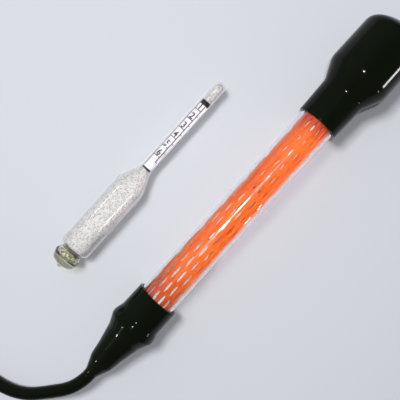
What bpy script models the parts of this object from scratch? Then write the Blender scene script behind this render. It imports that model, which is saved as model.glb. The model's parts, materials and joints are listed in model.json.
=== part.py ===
"""Antifreeze tester: a rubber squeeze bulb and a rubber boot on the two ends of a glass barrel, a float
in a plastic net inside the barrel, a suction hose on the boot, and a larger spare float beside it.

The tester lies on its bulb and its boot along +X, bulb end first. The floor is z = 0, and the origin is
under the middle of the part without its hose. Run with blender --background --python part.py, or from
Blender's text editor. All lengths are in metres.
"""

import math

import bmesh
import bpy
from mathutils import Vector

MM = 0.001

# Clearance that touching pieces keep, and the steps of turned pieces and of their arcs
CLEARANCE = 0.3 * MM
LARGE_STEPS = 28
SMALL_STEPS = 16
ARC_STEPS = 3
AXIS_MERGE = 0.01 * MM

# Glass barrel, from its lower end at station 0 on the tester's axis
BARREL_LENGTH = 200.0 * MM
BARREL_RADIUS = 12.7 * MM
BARREL_WALL = 1.4 * MM
BARREL_EDGE = 0.5 * MM
BEAD_RADIUS = 13.8 * MM
BEAD_HEIGHT = 3.2 * MM
BEAD_SHOULDER = 1.8 * MM

# Squeeze bulb, dip-moulded with one wall thickness; its lip is straight, so that its rim is square
BULB_WALL = 1.6 * MM
BULB_RADIUS = 22.0 * MM
BULB_DRAFT = 0.3 * MM
BULB_LENGTH = 83.5 * MM
BULB_GRIP = 21.0 * MM
BULB_NECK_LENGTH = 25.0 * MM
BULB_NECK_FLARE = 0.8 * MM
BULB_NECK_FILLET = 3.0 * MM
BULB_LIP_LENGTH = 2.0 * MM
BULB_SHOULDER_LENGTH = 13.5 * MM
BULB_SHOULDER_FILLET = 10.0 * MM
BULB_CORNER_RADIUS = 8.5 * MM
BULB_CROWN_RADIUS = 29.0 * MM

# Tip boot, dip-moulded, with a ring round the barrel's bead; its depths are below the barrel's end
BOOT_WALL = 1.9 * MM
BOOT_SLEEVE_LENGTH = 25.4 * MM
BOOT_SLEEVE_FLARE = 0.15 * MM
BOOT_LIP_LENGTH = 2.0 * MM
BOOT_RING_RISE = 2.5 * MM
BOOT_RING_HEIGHT = 0.1 * MM
BOOT_RING_ROOM = 0.75 * MM
BOOT_RING_FILLET = 4.5 * MM
BOOT_WAIST_DEPTH = 7.6 * MM
BOOT_WAIST_RADIUS = 13.2 * MM
BOOT_WAIST_FILLET = 14.0 * MM
BOOT_THROAT_DEPTH = 21.0 * MM
BOOT_THROAT_RADIUS = 10.0 * MM
BOOT_THROAT_FILLET = 30.0 * MM
BOOT_NOSE_DEPTH = 30.4 * MM
BOOT_NOSE_RADIUS = 8.5 * MM
BOOT_NOSE_FILLET = 7.0 * MM
BOOT_OUTLET_DEPTH = 40.2 * MM
BOOT_OUTLET_FILLET = 6.0 * MM
BOOT_DEPTH = 43.0 * MM

# Suction hose. Its route runs from the boot's outlet, and its heights are shares of the outlet's height
# over the height at which the hose rests on the floor
HOSE_RADIUS = 4.3 * MM
HOSE_WALL = 1.6 * MM
HOSE_GAP = 1.0 * MM
HOSE_POINT_SPACING = 10.0 * MM
HOSE_ROUTE = [
    (0.0 * MM, 0.0 * MM),
    (-5.9 * MM, 0.9 * MM),
    (-11.6 * MM, 2.7 * MM),
    (-17.0 * MM, 5.5 * MM),
    (-22.6 * MM, 9.6 * MM),
    (-29.0 * MM, 14.5 * MM),
    (-35.8 * MM, 20.3 * MM),
    (-41.8 * MM, 28.3 * MM),
    (-46.0 * MM, 38.4 * MM),
    (-48.0 * MM, 51.2 * MM),
    (-46.4 * MM, 66.1 * MM),
    (-39.7 * MM, 81.6 * MM),
    (-25.0 * MM, 105.6 * MM),
    (-7.6 * MM, 123.6 * MM),
    (12.1 * MM, 146.0 * MM),
    (30.1 * MM, 174.0 * MM),
]
HOSE_HEIGHT_SHARES = [
    1.0, 0.985, 0.944, 0.879, 0.784, 0.652, 0.493, 0.317, 0.149, 0.022, 0.0, 0.0, 0.0, 0.0, 0.0, 0.0
]

# Protective net: flat strands in a diamond mesh, rolled into a tube that is wider and twisted at its foot.
# Its turn faces a row of gaps to the side from which the photograph was taken
NET_FOOT = 5.5 * MM
NET_LENGTH = 190.5 * MM
NET_THICKNESS = 0.7 * MM
NET_STRAND_WIDTH = 2.8 * MM
NET_COLUMNS = 14
NET_ROWS = 17
NET_WAVE = 0.25 * MM
NET_FLARE = 0.3 * MM
NET_FOOT_LENGTH = 120.0 * MM
NET_TWIST = math.radians(14)
NET_TURN = math.radians(-3)
NET_RADIUS = 9.75 * MM
NET_BORE = NET_RADIUS - NET_WAVE - NET_THICKNESS
NET_PLAY = BARREL_RADIUS - BARREL_WALL - CLEARANCE - NET_RADIUS - NET_FLARE - NET_WAVE

# Working float, from the tip of its ballast cup at height 0 on its own axis
FLOAT_START = 9.8 * MM
FLOAT_LENGTH = 125.0 * MM
FLOAT_PLAY = 0.25 * MM
FLOAT_WALL = 0.5 * MM
FLOAT_BULB_RADIUS = NET_BORE - CLEARANCE - FLOAT_PLAY
FLOAT_BULB_FOOT = 12.3 * MM
FLOAT_BULB_FOOT_FILLET = 2.5 * MM
FLOAT_BULB_TOP = 54.0 * MM
FLOAT_BULB_TOP_FILLET = 8.0 * MM
FLOAT_STEM_RADIUS = 3.15 * MM
FLOAT_STEM_FOOT = 66.5 * MM
FLOAT_STEM_FILLET = 14.0 * MM
GROOVE_HEIGHT = 9.9 * MM
GROOVE_RADIUS = 5.8 * MM
GROOVE_LENGTH = 0.9 * MM
CUP_RADIUS = 7.35 * MM
CUP_WIDEST = 7.0 * MM
CUP_WIDEST_FILLET = 2.0 * MM
CUP_NOSE_RADIUS = 5.9 * MM
CUP_NOSE_HEIGHT = 2.5 * MM
CUP_NOSE_FILLET = 3.5 * MM
CUP_NUB_RADIUS = 1.2 * MM
CUP_NUB_HEIGHT = 0.5 * MM
CUP_FLOOR = 5.0 * MM
CUP_FLOOR_RADIUS = 4.8 * MM
CUP_FLOOR_FILLET = 0.8 * MM
SEAL_HEIGHT = 10.5 * MM
SEAL_THICKNESS = 1.1 * MM
LINING_THICKNESS = 1.0 * MM
SCALE_FOOT = FLOAT_STEM_FOOT - CLEARANCE
SCALE_TIP_GAP = 12.7 * MM
SCALE_TOP = FLOAT_LENGTH - SCALE_TIP_GAP
SCALE_THICKNESS = 0.35 * MM
SCALE_RING_HEIGHT = 0.9 * MM
SCALE_BAND_HEIGHT = 2.3 * MM

# Spare float: the same form, larger, on the floor beside the tester and parallel to it
SPARE_FLOAT_SCALE = 1.305
SPARE_FLOAT_SIDE = 63.2 * MM
SPARE_FLOAT_START = -3.9 * MM

# Finishes, as a colour with its roughness, metallic and transmission values
FINISHES = {
    "rubber": ((0.012, 0.016, 0.01), 0.22, 0.0, 0.0),
    "clear_glass": ((0.92, 0.9, 0.92), 0.04, 0.0, 0.9),
    "orange_plastic": ((0.95, 0.15, 0.015), 0.4, 0.0, 0.0),
    "amber_glass": ((0.55, 0.56, 0.36), 0.05, 0.0, 0.8),
    "ballast_metal": ((0.25, 0.25, 0.24), 0.25, 1.0, 0.0),
    "sealing_wax": ((0.05, 0.05, 0.04), 0.5, 0.0, 0.0),
    "granules": ((0.68, 0.67, 0.66), 0.8, 0.0, 0.0),
    "paper": ((0.86, 0.84, 0.9), 0.7, 0.0, 0.0),
    "black_print": ((0.02, 0.02, 0.025), 0.6, 0.0, 0.0),
}


# Scene

def remove_startup_objects():
    for obj in list(bpy.data.objects):
        bpy.data.objects.remove(obj, do_unlink=True)


def new_collection(name):
    collection = bpy.data.collections.new(name)
    bpy.context.scene.collection.children.link(collection)
    return collection


def new_material(name, finish):
    color, roughness, metallic, transmission = FINISHES[finish]
    material = bpy.data.materials.new(name)
    material.use_nodes = True
    shader = material.node_tree.nodes["Principled BSDF"]
    shader.inputs["Base Color"].default_value = (*color, 1.0)
    shader.inputs["Roughness"].default_value = roughness
    shader.inputs["Metallic"].default_value = metallic
    shader.inputs["Transmission Weight"].default_value = transmission
    return material


def new_object(name, data, finish, parent):
    """One sub-part of the tester, with a material of its own."""
    data.materials.append(new_material(name, finish))
    obj = bpy.data.objects.new(name, data)
    obj.parent = parent
    parts.objects.link(obj)
    return obj


def new_empty(name, parent=None, location=(0.0, 0.0, 0.0), pitch=0.0):
    """An empty whose local +Z is the axis of what it carries, pitched from upright towards +X."""
    empty = bpy.data.objects.new(name, None)
    empty.parent = parent
    empty.location = location
    empty.rotation_euler = (0.0, pitch, 0.0)
    parts.objects.link(empty)
    return empty


# Outlines, as (radius, height) points that run down the outer side

def arc(centre, radius, start, end):
    """Points along an arc between two angles, in radians from the radial direction."""
    angles = [start + (end - start) * k / ARC_STEPS for k in range(ARC_STEPS + 1)]
    return [Vector(centre) + radius * Vector((math.cos(a), math.sin(a))) for a in angles]


def rounded(corners, closed=False):
    """The outline through these (radius, height, fillet) corners, each fillet drawn as an arc."""
    outline = []
    for i, (radius, height, fillet) in enumerate(corners):
        corner = Vector((radius, height))
        if fillet == 0 or (not closed and i in (0, len(corners) - 1)):
            outline.append(corner)
            continue
        back = (Vector(corners[i - 1][:2]) - corner).normalized()
        ahead = (Vector(corners[(i + 1) % len(corners)][:2]) - corner).normalized()
        half = back.angle(ahead) / 2
        centre = corner + (back + ahead).normalized() * fillet / math.sin(half)
        reach = fillet / math.tan(half)
        first, last = corner + back * reach - centre, corner + ahead * reach - centre
        start, end = math.atan2(first.y, first.x), math.atan2(last.y, last.x)
        turn = (end - start + math.pi) % (2 * math.pi) - math.pi
        outline += arc(centre, fillet, start, start + turn)
    return outline


def inset(outline, distance):
    """The outline moved towards the inside of its turned shape."""
    runs = [(b - a).normalized() for a, b in zip(outline, outline[1:])]
    normals = [Vector((run.y, -run.x)) for run in runs]
    moved = []
    for point, before, after in zip(outline, [normals[0], *normals], [*normals, normals[-1]]):
        across = (before + after).normalized()
        place = point + across * distance / across.dot(after)
        moved.append(Vector((max(place.x, 0.0), place.y)))
    return moved


def radius_at(outline, height):
    for a, b in zip(outline, outline[1:]):
        if min(a.y, b.y) <= height <= max(a.y, b.y) and a.y != b.y:
            return a.x + (b.x - a.x) * (height - a.y) / (b.y - a.y)
    return 0.0


def between(outline, top, foot):
    """The stretch of an outline between two heights, with its ends cut level."""
    ends = [Vector((radius_at(outline, height), height)) for height in (top, foot)]
    return [ends[0], *[p for p in outline if foot < p.y < top], ends[1]]


def turned(name, outline, finish, parent, steps, closed=False, wall=0.0):
    """A sub-part turned about its parent's +Z. With a wall, its outline is the outside of a shell."""
    mesh = bpy.data.meshes.new(name)
    edges = [(i, i + 1) for i in range(len(outline) - 1)]
    if closed:
        edges.append((len(outline) - 1, 0))
    mesh.from_pydata([(point.x, 0.0, point.y) for point in outline], edges, [])
    obj = new_object(name, mesh, finish, parent)
    screw = obj.modifiers.new("Turn", "SCREW")
    screw.axis = "Z"
    screw.steps = steps
    screw.render_steps = steps
    screw.use_merge_vertices = True
    screw.merge_threshold = AXIS_MERGE
    screw.use_smooth_shade = True
    if wall:
        shell = obj.modifiers.new("Wall", "SOLIDIFY")
        shell.thickness = wall
        shell.offset = -1.0
        shell.use_even_offset = True
    return obj


def ring_outline(outer, inner, top, foot):
    return [Vector(p) for p in ((inner, top), (outer, top), (outer, foot), (inner, foot))]


# Rubber and glass of the tester's body

def barrel_outline():
    bore = BARREL_RADIUS - BARREL_WALL
    lip = BARREL_WALL / 2
    return rounded(
        [
            (BARREL_RADIUS, BARREL_LENGTH, BARREL_EDGE),
            (BARREL_RADIUS, BEAD_HEIGHT + BEAD_SHOULDER, BEAD_SHOULDER),
            (BEAD_RADIUS, BEAD_HEIGHT, lip),
            (BEAD_RADIUS, 0.0, lip),
            (bore + lip, 0.0, BARREL_EDGE),
            (bore, BEAD_HEIGHT, 0.0),
            (bore, BARREL_LENGTH, BARREL_EDGE),
        ],
        closed=True,
    )


def bulb_outline():
    """The bulb's outside, from the crown of its far end down to the rim of its neck."""
    end_radius = BULB_RADIUS - BULB_DRAFT
    rim = BARREL_LENGTH - BULB_GRIP
    crown_centre = rim + BULB_LENGTH - BULB_CROWN_RADIUS
    reach = BULB_CROWN_RADIUS - BULB_CORNER_RADIUS
    corner_radial = end_radius - BULB_CORNER_RADIUS
    meeting = math.acos(corner_radial / reach)
    corner = (corner_radial, crown_centre + reach * math.sin(meeting))
    neck = BARREL_RADIUS + CLEARANCE + BULB_WALL
    shoulder_foot = rim + BULB_NECK_LENGTH
    lower = [
        (end_radius, corner[1], 0.0),
        (BULB_RADIUS, shoulder_foot + BULB_SHOULDER_LENGTH, BULB_SHOULDER_FILLET),
        (neck + BULB_NECK_FLARE, shoulder_foot, BULB_NECK_FILLET),
        (neck, rim + BULB_LIP_LENGTH, 0.0),
        (neck, rim, 0.0),
    ]
    crown = arc((0.0, crown_centre), BULB_CROWN_RADIUS, math.pi / 2, meeting)
    crown[0].x = 0.0
    return crown + arc(corner, BULB_CORNER_RADIUS, meeting, 0.0)[1:] + rounded(lower)[1:]


def boot_outline():
    """The boot's outside, from the rim of its sleeve down to its outlet."""
    sleeve = BARREL_RADIUS + CLEARANCE + BOOT_WALL
    ring = BEAD_RADIUS + CLEARANCE + BOOT_WALL + BOOT_RING_ROOM
    ring_top = BEAD_HEIGHT + BEAD_SHOULDER + BOOT_RING_RISE
    return rounded(
        [
            (sleeve, BOOT_SLEEVE_LENGTH, 0.0),
            (sleeve, BOOT_SLEEVE_LENGTH - BOOT_LIP_LENGTH, 0.0),
            (sleeve + BOOT_SLEEVE_FLARE, ring_top, 0.0),
            (ring, BOOT_RING_HEIGHT, BOOT_RING_FILLET),
            (BOOT_WAIST_RADIUS, -BOOT_WAIST_DEPTH, BOOT_WAIST_FILLET),
            (BOOT_THROAT_RADIUS, -BOOT_THROAT_DEPTH, BOOT_THROAT_FILLET),
            (BOOT_NOSE_RADIUS, -BOOT_NOSE_DEPTH, BOOT_NOSE_FILLET),
            (HOSE_RADIUS, -BOOT_OUTLET_DEPTH, BOOT_OUTLET_FILLET),
            (HOSE_RADIUS, -BOOT_DEPTH, 0.0),
        ]
    )


# Suction hose

def smooth_route(points, spacing):
    """Points about this far apart on a Catmull-Rom curve through the route's own points."""
    ends = [2 * points[0] - points[1], *points, 2 * points[-1] - points[-2]]
    route = []
    for before, start, end, after in zip(ends, ends[1:], ends[2:], ends[3:]):
        count = max(1, round((end - start).length / spacing))
        for k in range(count):
            t = k / count
            rise = (end - before) * t
            bend = (2 * before - 5 * start + 4 * end - after) * t**2
            twist = (3 * start - before - 3 * end + after) * t**3
            route.append(start + (rise + bend + twist) / 2)
    return [*route, points[-1]]


def make_hose(outlet_height):
    """The hose from the boot's outlet, down to the floor and on along it."""
    outlet = new_empty("hose_outlet", location=on_tester_axis(-BOOT_DEPTH - HOSE_GAP))
    drop = outlet_height - HOSE_RADIUS
    route = [
        Vector((x, y, drop * (share - 1)))
        for (x, y), share in zip(HOSE_ROUTE, HOSE_HEIGHT_SHARES)
    ]
    points = smooth_route(route, HOSE_POINT_SPACING)
    curve = bpy.data.curves.new("suction_hose", "CURVE")
    curve.dimensions = "3D"
    spline = curve.splines.new("POLY")
    spline.points.add(len(points) - 1)
    for spot, point in zip(spline.points, points):
        spot.co = (*point, 1.0)
    spline.use_smooth = True
    curve.bevel_depth = HOSE_RADIUS
    curve.bevel_resolution = 4
    hose = new_object("suction_hose", curve, "rubber", outlet)
    bore = hose.modifiers.new("Bore", "SOLIDIFY")
    bore.thickness = HOSE_WALL
    bore.offset = -1.0
    return hose


# Protective net

def net_foot_share(height):
    """How much of the foot's widening and twist a height has: 1 at the foot, and 0 above it."""
    share = max(0.0, 1.0 - height / NET_FOOT_LENGTH)
    return share * share * (3 - 2 * share)


def net_node(row, column):
    """The place where strands cross. Each row is half a column round from the last."""
    height = NET_LENGTH * row / (NET_ROWS + 1)
    share = net_foot_share(height)
    angle = 2 * math.pi * (column + (row + 1) % 2 / 2) / NET_COLUMNS + NET_TURN + NET_TWIST * share
    radius = NET_RADIUS + NET_FLARE * share + NET_WAVE * math.cos(math.pi * row)
    return Vector((radius * math.cos(angle), radius * math.sin(angle), height))


def make_net(parent):
    """A tube of diamonds, each inset by half a strand and opened, then thickened inwards."""
    net = bmesh.new()
    nodes = [
        [net.verts.new(net_node(row, column)) for column in range(NET_COLUMNS)]
        for row in range(NET_ROWS + 2)
    ]
    for row in range(1, NET_ROWS + 1):
        for column in range(NET_COLUMNS):
            side = column + row % 2
            corners = (
                nodes[row - 1][column],
                nodes[row][side % NET_COLUMNS],
                nodes[row + 1][column],
                nodes[row][side - 1],
            )
            net.faces.new(corners)
    net.normal_update()
    diamonds = list(net.faces)
    bmesh.ops.inset_individual(
        net, faces=diamonds, thickness=NET_STRAND_WIDTH / 2, use_even_offset=True
    )
    bmesh.ops.delete(net, geom=diamonds, context="FACES")
    mesh = bpy.data.meshes.new("protective_net")
    net.to_mesh(mesh)
    net.free()
    obj = new_object("protective_net", mesh, "orange_plastic", parent)
    strands = obj.modifiers.new("Strands", "SOLIDIFY")
    strands.thickness = NET_THICKNESS
    strands.offset = -1.0
    return obj


# Floats

def float_glass_outline(k):
    """The outside of a float's glass, from the tip of its stem down to the groove over its cup."""
    stem = FLOAT_STEM_RADIUS * k
    tip = arc((0.0, FLOAT_LENGTH * k - stem), stem, math.pi / 2, 0.0)
    tip[0].x = 0.0
    return tip + rounded(
        [
            (*tip[-1], 0.0),
            (stem, FLOAT_STEM_FOOT * k, FLOAT_STEM_FILLET * k),
            (FLOAT_BULB_RADIUS * k, FLOAT_BULB_TOP * k, FLOAT_BULB_TOP_FILLET * k),
            (FLOAT_BULB_RADIUS * k, FLOAT_BULB_FOOT * k, FLOAT_BULB_FOOT_FILLET * k),
            (GROOVE_RADIUS * k, (GROOVE_HEIGHT + GROOVE_LENGTH) * k, 0.0),
            (GROOVE_RADIUS * k, GROOVE_HEIGHT * k + CLEARANCE, 0.0),
        ]
    )[1:]


def cup_cavity_outline(k):
    """The inside of the ballast cup, from its throat down to its floor."""
    return rounded(
        [
            ((GROOVE_RADIUS - FLOAT_WALL) * k, GROOVE_HEIGHT * k, 0.0),
            ((CUP_RADIUS - FLOAT_WALL) * k, CUP_WIDEST * k, CUP_WIDEST_FILLET * k),
            (CUP_FLOOR_RADIUS * k, CUP_FLOOR * k, CUP_FLOOR_FILLET * k),
            (0.0, CUP_FLOOR * k, 0.0),
        ]
    )


def cup_outline(k):
    """The ballast cup's section, up its inside, over its throat and down its outside to its nub."""
    outside = rounded(
        [
            (GROOVE_RADIUS * k, GROOVE_HEIGHT * k, 0.0),
            (CUP_RADIUS * k, CUP_WIDEST * k, CUP_WIDEST_FILLET * k),
            (CUP_NOSE_RADIUS * k, CUP_NOSE_HEIGHT * k, CUP_NOSE_FILLET * k),
            (CUP_NUB_RADIUS * k, CUP_NUB_HEIGHT * k, 0.0),
            (CUP_NUB_RADIUS * k, 0.0, 0.0),
            (0.0, 0.0, 0.0),
        ]
    )
    return [*reversed(cup_cavity_outline(k)), *outside]


def make_float(prefix, axis, k=1.0):
    """A float whose sizes are the working float's times k, on its own axis."""
    glass = float_glass_outline(k)
    inside = inset(glass, FLOAT_WALL * k + CLEARANCE)
    seal_top = (SEAL_HEIGHT + SEAL_THICKNESS) * k
    scale_foot = (SCALE_FOOT + SCALE_RING_HEIGHT) * k + CLEARANCE
    scale_top = (SCALE_TOP - SCALE_BAND_HEIGHT) * k - CLEARANCE
    outer = FLOAT_STEM_RADIUS * k - FLOAT_WALL * k - CLEARANCE
    inner = outer - SCALE_THICKNESS * k
    turned(prefix + "_glass", glass, "clear_glass", axis, SMALL_STEPS, wall=FLOAT_WALL * k)
    turned(prefix + "_ballast_cup", cup_outline(k), "amber_glass", axis, SMALL_STEPS)

    ballast = inset(cup_cavity_outline(k), CLEARANCE)
    ballast = [Vector((0.0, ballast[0].y)), *ballast]
    turned(prefix + "_ballast", ballast, "ballast_metal", axis, SMALL_STEPS)

    seal = [(0.0, seal_top), *between(inside, seal_top, SEAL_HEIGHT * k), (0.0, SEAL_HEIGHT * k)]
    turned(prefix + "_seal", [Vector(p) for p in seal], "sealing_wax", axis, SMALL_STEPS)

    lining = between(inside, SCALE_FOOT * k - CLEARANCE, seal_top + CLEARANCE)
    wall = LINING_THICKNESS * k
    turned(prefix + "_lining", lining, "granules", axis, SMALL_STEPS, wall=wall)

    bands = {
        "_scale_ring": ("black_print", (SCALE_FOOT + SCALE_RING_HEIGHT) * k, SCALE_FOOT * k),
        "_scale": ("paper", scale_top, scale_foot),
        "_scale_band": ("black_print", SCALE_TOP * k, (SCALE_TOP - SCALE_BAND_HEIGHT) * k),
    }
    for name, (finish, top, foot) in bands.items():
        ring = ring_outline(outer, inner, top, foot)
        turned(prefix + name, ring, finish, axis, SMALL_STEPS, closed=True)

    plug_foot = SCALE_TOP * k + CLEARANCE
    plug = [*between(inside, inside[0].y, plug_foot), Vector((0.0, plug_foot))]
    turned(prefix + "_tip_plug", plug, "granules", axis, SMALL_STEPS)


# Resting place on the floor

def resting_pitch(boot, bulb):
    """The pitch at which the boot's ring and the bulb's shoulder both touch the floor."""
    ring, belly = (max(outline, key=lambda point: point.x) for outline in (boot, bulb))
    return math.atan2(belly.x - ring.x, belly.y - ring.y)


def tester_origin(boot, bulb, pitch):
    """Where station 0 of the tester's axis lies, with the part centred on the origin."""
    ring = max(boot, key=lambda point: point.x)
    outlet = boot[-1]
    low_x = outlet.y * math.cos(pitch) - outlet.x * math.sin(pitch)
    high_x = bulb[0].y * math.cos(pitch)
    far_y = SPARE_FLOAT_SIDE + FLOAT_BULB_RADIUS * SPARE_FLOAT_SCALE
    return Vector(
        (
            -(low_x + high_x) / 2,
            -(far_y - BULB_RADIUS) / 2,
            ring.x * math.cos(pitch) - ring.y * math.sin(pitch),
        )
    )


def on_tester_axis(station):
    return tester.location + station * Vector((math.cos(pitch), 0.0, math.sin(pitch)))


remove_startup_objects()
parts = new_collection("antifreeze_tester")

boot = boot_outline()
bulb = bulb_outline()
pitch = resting_pitch(boot, bulb)
upright_to_axis = math.pi / 2 - pitch
tester = new_empty(
    "tester_axis", location=tester_origin(boot, bulb, pitch), pitch=upright_to_axis
)
turned("barrel_tube", barrel_outline(), "clear_glass", tester, LARGE_STEPS, closed=True)
turned("tip_boot", boot, "rubber", tester, LARGE_STEPS, wall=BOOT_WALL)
make_hose(on_tester_axis(-BOOT_DEPTH - HOSE_GAP).z)

bulb_axis = new_empty("bulb_axis", tester)
turned("squeeze_bulb", bulb, "rubber", bulb_axis, LARGE_STEPS, wall=BULB_WALL)

# Local +X of the tester's axis points down, so the net lies on the barrel and the float on the net
net_axis = new_empty("net_axis", tester, (NET_PLAY, 0.0, NET_FOOT))
make_net(net_axis)
float_axis = new_empty("float_axis", tester, (NET_PLAY + FLOAT_PLAY, 0.0, FLOAT_START))
make_float("float", float_axis)

spare_axis = new_empty(
    "spare_float_axis",
    location=(
        tester.location.x + SPARE_FLOAT_START,
        tester.location.y + SPARE_FLOAT_SIDE,
        FLOAT_BULB_RADIUS * SPARE_FLOAT_SCALE,
    ),
    pitch=math.pi / 2,
)
make_float("spare_float", spare_axis, SPARE_FLOAT_SCALE)
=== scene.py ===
import json
import math

import bpy
from mathutils import Matrix, Vector, noise


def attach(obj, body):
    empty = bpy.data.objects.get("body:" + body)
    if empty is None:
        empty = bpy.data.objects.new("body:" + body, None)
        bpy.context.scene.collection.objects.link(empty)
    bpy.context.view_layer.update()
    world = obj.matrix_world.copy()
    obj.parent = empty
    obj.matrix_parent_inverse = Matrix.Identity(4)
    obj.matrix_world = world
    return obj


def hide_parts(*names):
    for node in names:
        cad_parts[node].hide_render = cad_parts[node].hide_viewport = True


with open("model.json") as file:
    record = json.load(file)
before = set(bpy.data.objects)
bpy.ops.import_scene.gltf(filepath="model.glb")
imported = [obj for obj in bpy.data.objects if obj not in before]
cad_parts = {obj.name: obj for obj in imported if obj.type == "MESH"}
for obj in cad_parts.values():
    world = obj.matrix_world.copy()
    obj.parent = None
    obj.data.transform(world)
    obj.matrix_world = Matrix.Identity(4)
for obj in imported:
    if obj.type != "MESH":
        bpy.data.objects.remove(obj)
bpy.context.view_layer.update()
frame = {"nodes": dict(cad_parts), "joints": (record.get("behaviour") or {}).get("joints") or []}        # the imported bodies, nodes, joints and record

mm = 0.001
print("frame loaded:", len(frame["nodes"]), "nodes")


# Places in the frame

def turnedPlace(node, along):
    # local +Z runs along the node's axis, local +X points down, and the origin is in its lower end
    along = Vector(along).normalized()
    side = Vector((0, 1, 0))
    up = along.cross(side)
    points = [vert.co for vert in frame["nodes"][node].data.vertices]
    alongs, sides, ups = ([point.dot(line) for point in points] for line in (along, side, up))
    place = Matrix((-up, side, along)).transposed().to_4x4()
    place.translation = (
        along * min(alongs)
        + side * (min(sides) + max(sides)) / 2
        + up * (min(ups) + max(ups)) / 2
    )
    return place


testerAxis = next(joint["axis"] for joint in frame["joints"] if joint["name"] == "bulb_pull")
testerPlace = turnedPlace("barrel_tube", testerAxis)
bulbPlace = turnedPlace("squeeze_bulb", testerAxis)
netPlace = turnedPlace("protective_net", testerAxis)
floatPlace = turnedPlace("float_ballast_cup", testerAxis)
spareFloatPlace = turnedPlace("spare_float_ballast_cup", (1, 0, 0))


# Outlines in mm, as (radius, height) points that run down the outer side

def arc(centre, radius, start, end, steps):
    angles = [start + (end - start) * step / steps for step in range(steps + 1)]
    return [Vector(centre) + radius * Vector((math.cos(angle), math.sin(angle))) for angle in angles]


def rounded(corners, closed=False, steps=8):
    # each corner is (radius, height, fillet), and each fillet becomes an arc
    outline = []
    for i, (radius, height, fillet) in enumerate(corners):
        corner = Vector((radius, height))
        if fillet == 0 or (not closed and i in (0, len(corners) - 1)):
            outline.append(corner)
            continue
        back = (Vector(corners[i - 1][:2]) - corner).normalized()
        ahead = (Vector(corners[(i + 1) % len(corners)][:2]) - corner).normalized()
        half = back.angle(ahead) / 2
        centre = corner + (back + ahead).normalized() * fillet / math.sin(half)
        reach = fillet / math.tan(half)
        first, last = corner + back * reach - centre, corner + ahead * reach - centre
        start, end = math.atan2(first.y, first.x), math.atan2(last.y, last.x)
        sweep = (end - start + math.pi) % (2 * math.pi) - math.pi
        outline += arc(centre, fillet, start, start + sweep, steps)
    return outline


def inset(outline, distance):
    runs = [(there - here).normalized() for here, there in zip(outline, outline[1:])]
    normals = [Vector((run.y, -run.x)) for run in runs]
    moved = []
    for point, before, after in zip(outline, [normals[0], *normals], [*normals, normals[-1]]):
        across = (before + after).normalized()
        place = point + across * distance / across.dot(after)
        moved.append(Vector((max(place.x, 0.0), place.y)))
    return moved


def radiusAt(outline, height):
    for here, there in zip(outline, outline[1:]):
        if min(here.y, there.y) <= height <= max(here.y, there.y) and here.y != there.y:
            return here.x + (there.x - here.x) * (height - here.y) / (there.y - here.y)
    return 0.0


def between(outline, top, foot):
    ends = [Vector((radiusAt(outline, height), height)) for height in (top, foot)]
    return [ends[0], *[point for point in outline if foot < point.y < top], ends[1]]


def shell(outer, wall, lip, openTop=False):
    # down the outer side, round the lip and back up the inner side
    inner = inset(outer, wall)
    corners = [(point.x, point.y, 0) for point in [*outer, *reversed(inner)]]
    last = len(outer) - 1
    rounds = [last, last + 1] + ([0, len(corners) - 1] if openTop else [])
    for i in rounds:
        corners[i] = (corners[i][0], corners[i][1], lip)
    return rounded(corners, closed=openTop, steps=4)


# Modelling steps

smoothAngle = math.radians(35)


def startPiece(name):
    piece = bpy.context.object
    piece.name = piece.data.name = name
    bpy.context.tool_settings.mesh_select_mode = (True, False, False)
    bpy.ops.object.mode_set(mode="EDIT")
    bpy.ops.mesh.select_all(action="SELECT")
    return piece


def pick(piece, kind, test):
    # only the vertices, edges or faces that pass the test are selected, in edit mode
    bpy.ops.object.mode_set(mode="OBJECT")
    mesh = piece.data
    groups = {"VERT": mesh.vertices, "EDGE": mesh.edges, "FACE": mesh.polygons}
    for group in groups.values():
        group.foreach_set("select", [False] * len(group))
    for item in groups[kind]:
        item.select = test(item)
    bpy.context.tool_settings.mesh_select_mode = [kind == other for other in groups]
    bpy.ops.object.mode_set(mode="EDIT")


def applyModifier(piece, kind, **settings):
    bpy.ops.object.modifier_add(type=kind)
    modifier = piece.modifiers[-1]
    for key, value in settings.items():
        setattr(modifier, key, value)
    bpy.ops.object.modifier_apply(modifier=modifier.name)


def settle(piece, place):
    # the piece goes to its place, which stays in its mesh
    piece.matrix_world = place
    bpy.ops.object.transform_apply(location=True, rotation=True, scale=True)


def turn(name, outline, place, sides, closed=False):
    # one vertex is extruded along the outline and spun about the axis
    bpy.ops.object.select_all(action="DESELECT")
    bpy.ops.mesh.primitive_plane_add(size=mm)
    piece = startPiece(name)
    bpy.ops.mesh.merge(type="CENTER")
    bpy.ops.transform.translate(value=(outline[0].x * mm, 0, outline[0].y * mm))
    for here, there in zip(outline, outline[1:]):
        move = (there - here) * mm
        bpy.ops.mesh.extrude_vertices_move(
            TRANSFORM_OT_translate={"value": (move.x, 0, move.y)}
        )
    if closed:
        pick(piece, "VERT", lambda vert: vert.index in (0, len(outline) - 1))
        bpy.ops.mesh.edge_face_add()
    bpy.ops.mesh.select_all(action="SELECT")
    bpy.ops.mesh.spin(steps=sides, angle=2 * math.pi, center=(0, 0, 0), axis=(0, 0, 1))
    bpy.ops.mesh.select_all(action="SELECT")
    bpy.ops.mesh.remove_doubles(threshold=0.002 * mm)
    bpy.ops.mesh.normals_make_consistent(inside=False)
    bpy.ops.object.mode_set(mode="OBJECT")
    bpy.ops.object.shade_smooth_by_angle(angle=smoothAngle)
    settle(piece, place)
    return piece


def ruffle(piece, height, size, seed):
    # slow unevenness, as hand-dipped rubber and blown glass have
    normals = [normal.vector.copy() for normal in piece.data.vertex_normals]
    for vert, normal in zip(piece.data.vertices, normals):
        spot = (vert.co + Vector((seed, 0, 0))) / (size * mm)
        vert.co += normal * noise.noise(spot) * height * mm


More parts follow.
